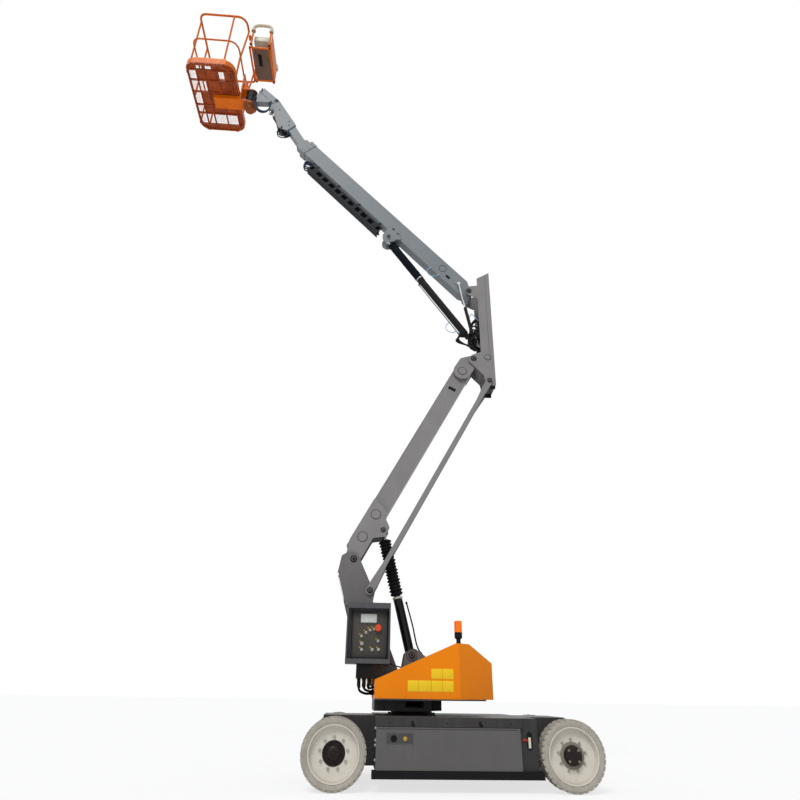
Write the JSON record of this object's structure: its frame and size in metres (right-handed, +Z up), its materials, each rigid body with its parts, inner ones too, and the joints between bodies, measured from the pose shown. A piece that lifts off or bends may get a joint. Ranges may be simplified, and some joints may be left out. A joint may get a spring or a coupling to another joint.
{
  "type": "articulating boom lift",
  "caption": "Self-propelled lift with a slewing turntable, a parallelogram lower boom, a telescoping upper boom and a self-levelling rotating work platform.",
  "frame": {"origin": "on the ground under the middle of the parked machine's length and width", "axes": "+Z up, +X towards the machine's tail with the platform at -X, +Y towards the machine's right side"},
  "size_m": [5.1945, 1.41, 10.7899],
  "materials": {
    "grey_paint": "satin",
    "charcoal_paint": "satin",
    "black_paint": "gloss",
    "orange_paint": "satin",
    "cover_plastic": "satin",
    "cream_paint": "satin",
    "tyre_rubber": "matt",
    "black_rubber": "matt",
    "bare_steel": "polished",
    "cast_iron": "matt",
    "battery": "matt",
    "amber_lens": "gloss",
    "case_plastic": "matt",
    "foam": "matt"
  },
  "bodies": {
    "chassis": {"chassis_frame": "charcoal_paint", "left_side_rail": "black_paint", "right_side_rail": "black_paint", "left_battery_pack": "battery", "right_battery_pack": "battery", "chassis_ballast": "cast_iron", "steer_axle": "black_paint", "drive_axle": "black_paint", "slew_ring": "black_paint"},
    "left_door": {"left_door": "charcoal_paint"},
    "right_door": {"right_door": "charcoal_paint"},
    "left_knuckle": {"left_knuckle": "black_paint"},
    "right_knuckle": {"right_knuckle": "black_paint"},
    "tie_rod": {"tie_rod": "black_paint"},
    "front_left_wheel": {"front_left_tyre": "tyre_rubber", "front_left_wheel": "cream_paint"},
    "front_right_wheel": {"front_right_tyre": "tyre_rubber", "front_right_wheel": "cream_paint"},
    "rear_left_wheel": {"rear_left_tyre": "tyre_rubber", "rear_left_wheel": "cream_paint"},
    "rear_right_wheel": {"rear_right_tyre": "tyre_rubber", "rear_right_wheel": "cream_paint"},
    "turntable": {"turntable_frame": "grey_paint", "left_cover": "cover_plastic", "right_cover": "cover_plastic", "counterweight": "cast_iron", "ground_control_box": "case_plastic", "valve_block": "black_paint", "beacon": "amber_lens"},
    "lower_boom": {"lower_boom": "grey_paint"},
    "links": {"left_link": "grey_paint", "right_link": "grey_paint"},
    "lower_cylinder": {"lower_cylinder_barrel": "black_paint", "lower_cylinder_bellows": "black_rubber"},
    "lower_cylinder_rod": {"lower_cylinder_rod": "bare_steel"},
    "upright": {"upright": "grey_paint"},
    "main_boom": {"main_boom": "grey_paint", "cable_tray": "black_paint"},
    "main_cylinder": {"main_cylinder_barrel": "black_paint"},
    "main_cylinder_rod": {"main_cylinder_rod": "bare_steel"},
    "level_cylinder": {"level_cylinder_barrel": "black_paint"},
    "level_cylinder_rod": {"level_cylinder_rod": "bare_steel"},
    "fly_boom": {"fly_boom": "grey_paint"},
    "platform_support": {"platform_support": "grey_paint", "platform_rotator": "black_paint"},
    "slave_cylinder": {"slave_cylinder_barrel": "black_paint"},
    "slave_cylinder_rod": {"slave_cylinder_rod": "bare_steel"},
    "platform": {"platform_bracket": "orange_paint", "platform_floor": "orange_paint", "platform_frame": "orange_paint", "platform_console": "orange_paint", "platform_control_box": "case_plastic", "left_console_guard": "foam", "right_console_guard": "foam"},
    "entry_bar": {"entry_bar": "orange_paint"}
  },
  "joints": [
    {"name": "slew", "type": "hinge", "parent": "chassis", "child": "turntable", "pos_m": [0.985, 0, 0.6], "axis": [0, 0, 1], "range_deg": [-177.5, 177.5]},
    {"name": "lower_boom_lift", "type": "hinge", "parent": "turntable", "child": "lower_boom", "pos_m": [0.354, 0, 2.006], "axis": [0, -1, 0], "range_deg": [-74, 4]},
    {"name": "lower_link_pivot", "type": "hinge", "parent": "turntable", "child": "links", "pos_m": [0.537, 0, 1.688], "axis": [0, -1, 0], "range_deg": [-74, 4]},
    {"name": "upright_pivot", "type": "hinge", "parent": "lower_boom", "child": "upright", "pos_m": [1.74698, 0, 4.54612], "axis": [0, -1, 0], "range_deg": [-4, 74]},
    {"name": "lower_cylinder_pivot", "type": "hinge", "parent": "turntable", "child": "lower_cylinder", "pos_m": [0.975, 0, 1.083], "axis": [0, -1, 0], "range_deg": [-0.2, 3]},
    {"name": "lower_cylinder_stroke", "type": "slide", "parent": "lower_cylinder", "child": "lower_cylinder_rod", "axis": [-0.2453, 0, 0.9694], "range_m": [-0.54, 0.03], "deforming": ["lower_cylinder_bellows"]},
    {"name": "main_boom_lift", "type": "hinge", "parent": "upright", "child": "main_boom", "pos_m": [1.725, 0, 5.606], "axis": [0, 1, 0], "range_deg": [-47, 22]},
    {"name": "main_cylinder_pivot", "type": "hinge", "parent": "upright", "child": "main_cylinder", "pos_m": [1.767, 0, 4.869], "axis": [0, 1, 0], "range_deg": [-34, 16]},
    {"name": "main_cylinder_stroke", "type": "slide", "parent": "main_cylinder", "child": "main_cylinder_rod", "axis": [-0.5685, 0, 0.8227], "range_m": [-0.4, 0.19]},
    {"name": "level_cylinder_pivot", "type": "hinge", "parent": "upright", "child": "level_cylinder", "pos_m": [1.75, -0.097, 4.955], "axis": [0, 1, 0], "range_deg": [-8.3, 3.9]},
    {"name": "level_cylinder_stroke", "type": "slide", "parent": "level_cylinder", "child": "level_cylinder_rod", "axis": [-0.1878, 0, 0.9822], "range_m": [-0.1, 0.05]},
    {"name": "telescope", "type": "slide", "parent": "main_boom", "child": "fly_boom", "axis": [-0.6775, 0, 0.7356], "range_m": [0, 2]},
    {"name": "platform_level", "type": "hinge", "parent": "fly_boom", "child": "platform_support", "pos_m": [-1.24673, 0, 9.24374], "axis": [0, 1, 0], "range_deg": [-22, 47]},
    {"name": "slave_cylinder_pivot", "type": "hinge", "parent": "fly_boom", "child": "slave_cylinder", "pos_m": [-1.1, 0, 8.64], "axis": [0, 1, 0], "range_deg": [-6.2, 2.9]},
    {"name": "slave_cylinder_stroke", "type": "slide", "parent": "slave_cylinder", "child": "slave_cylinder_rod", "axis": [-0.4771, 0, 0.8789], "range_m": [-0.07, 0.14]},
    {"name": "platform_rotate", "type": "hinge", "parent": "platform_support", "child": "platform", "pos_m": [-1.66, 0, 9.32], "axis": [0, 0, 1], "range_deg": [-80, 80]},
    {"name": "entry_bar_slide", "type": "slide", "parent": "platform", "child": "entry_bar", "axis": [0, 0, 1], "range_m": [0, 0.5]},
    {"name": "left_steer", "type": "hinge", "parent": "chassis", "child": "left_knuckle", "pos_m": [0.27, -0.516, 0.28], "axis": [0, 0, 1], "range_deg": [-40, 40]},
    {"name": "right_steer", "type": "hinge", "parent": "chassis", "child": "right_knuckle", "pos_m": [0.27, 0.516, 0.28], "axis": [0, 0, 1], "range_deg": [-40, 40]},
    {"name": "tie_rod_slide", "type": "slide", "parent": "chassis", "child": "tie_rod", "axis": [0, -1, 0], "range_m": [-0.099, 0.099]},
    {"name": "front_left_wheel_spin", "type": "hinge", "parent": "left_knuckle", "child": "front_left_wheel", "pos_m": [0.27, -0.616, 0.2795], "axis": [0, 1, 0], "continuous": true},
    {"name": "front_right_wheel_spin", "type": "hinge", "parent": "right_knuckle", "child": "front_right_wheel", "pos_m": [0.27, 0.616, 0.2795], "axis": [0, 1, 0], "continuous": true},
    {"name": "rear_left_wheel_spin", "type": "hinge", "parent": "chassis", "child": "rear_left_wheel", "pos_m": [2.33, -0.616, 0.2795], "axis": [0, 1, 0], "continuous": true},
    {"name": "rear_right_wheel_spin", "type": "hinge", "parent": "chassis", "child": "rear_right_wheel", "pos_m": [2.33, 0.616, 0.2795], "axis": [0, 1, 0], "continuous": true},
    {"name": "left_door_hinge", "type": "hinge", "parent": "chassis", "child": "left_door", "pos_m": [1.3, -0.682, 0.161], "axis": [1, 0, 0], "range_deg": [0, 90]},
    {"name": "right_door_hinge", "type": "hinge", "parent": "chassis", "child": "right_door", "pos_m": [1.3, 0.682, 0.161], "axis": [-1, 0, 0], "range_deg": [0, 90]}
  ],
  "couplings": [
    {"joint": "lower_link_pivot", "follows": "lower_boom_lift", "ratio": 1},
    {"joint": "upright_pivot", "follows": "lower_boom_lift", "ratio": -1},
    {"joint": "lower_cylinder_pivot", "follows": "lower_boom_lift", "ratio": -0.04},
    {"joint": "lower_cylinder_stroke", "follows": "lower_boom_lift", "m_per_rad": 0.412},
    {"joint": "main_cylinder_pivot", "follows": "main_boom_lift", "ratio": 0.72},
    {"joint": "main_cylinder_stroke", "follows": "main_boom_lift", "m_per_rad": 0.48},
    {"joint": "level_cylinder_pivot", "follows": "main_boom_lift", "ratio": 0.175},
    {"joint": "level_cylinder_stroke", "follows": "main_boom_lift", "m_per_rad": 0.12},
    {"joint": "platform_level", "follows": "main_boom_lift", "ratio": -1},
    {"joint": "slave_cylinder_pivot", "follows": "main_boom_lift", "ratio": 0.13},
    {"joint": "slave_cylinder_stroke", "follows": "main_boom_lift", "m_per_rad": -0.165},
    {"joint": "right_steer", "follows": "left_steer", "ratio": 1},
    {"joint": "tie_rod_slide", "follows": "left_steer", "m_per_rad": 0.14}
  ]
}
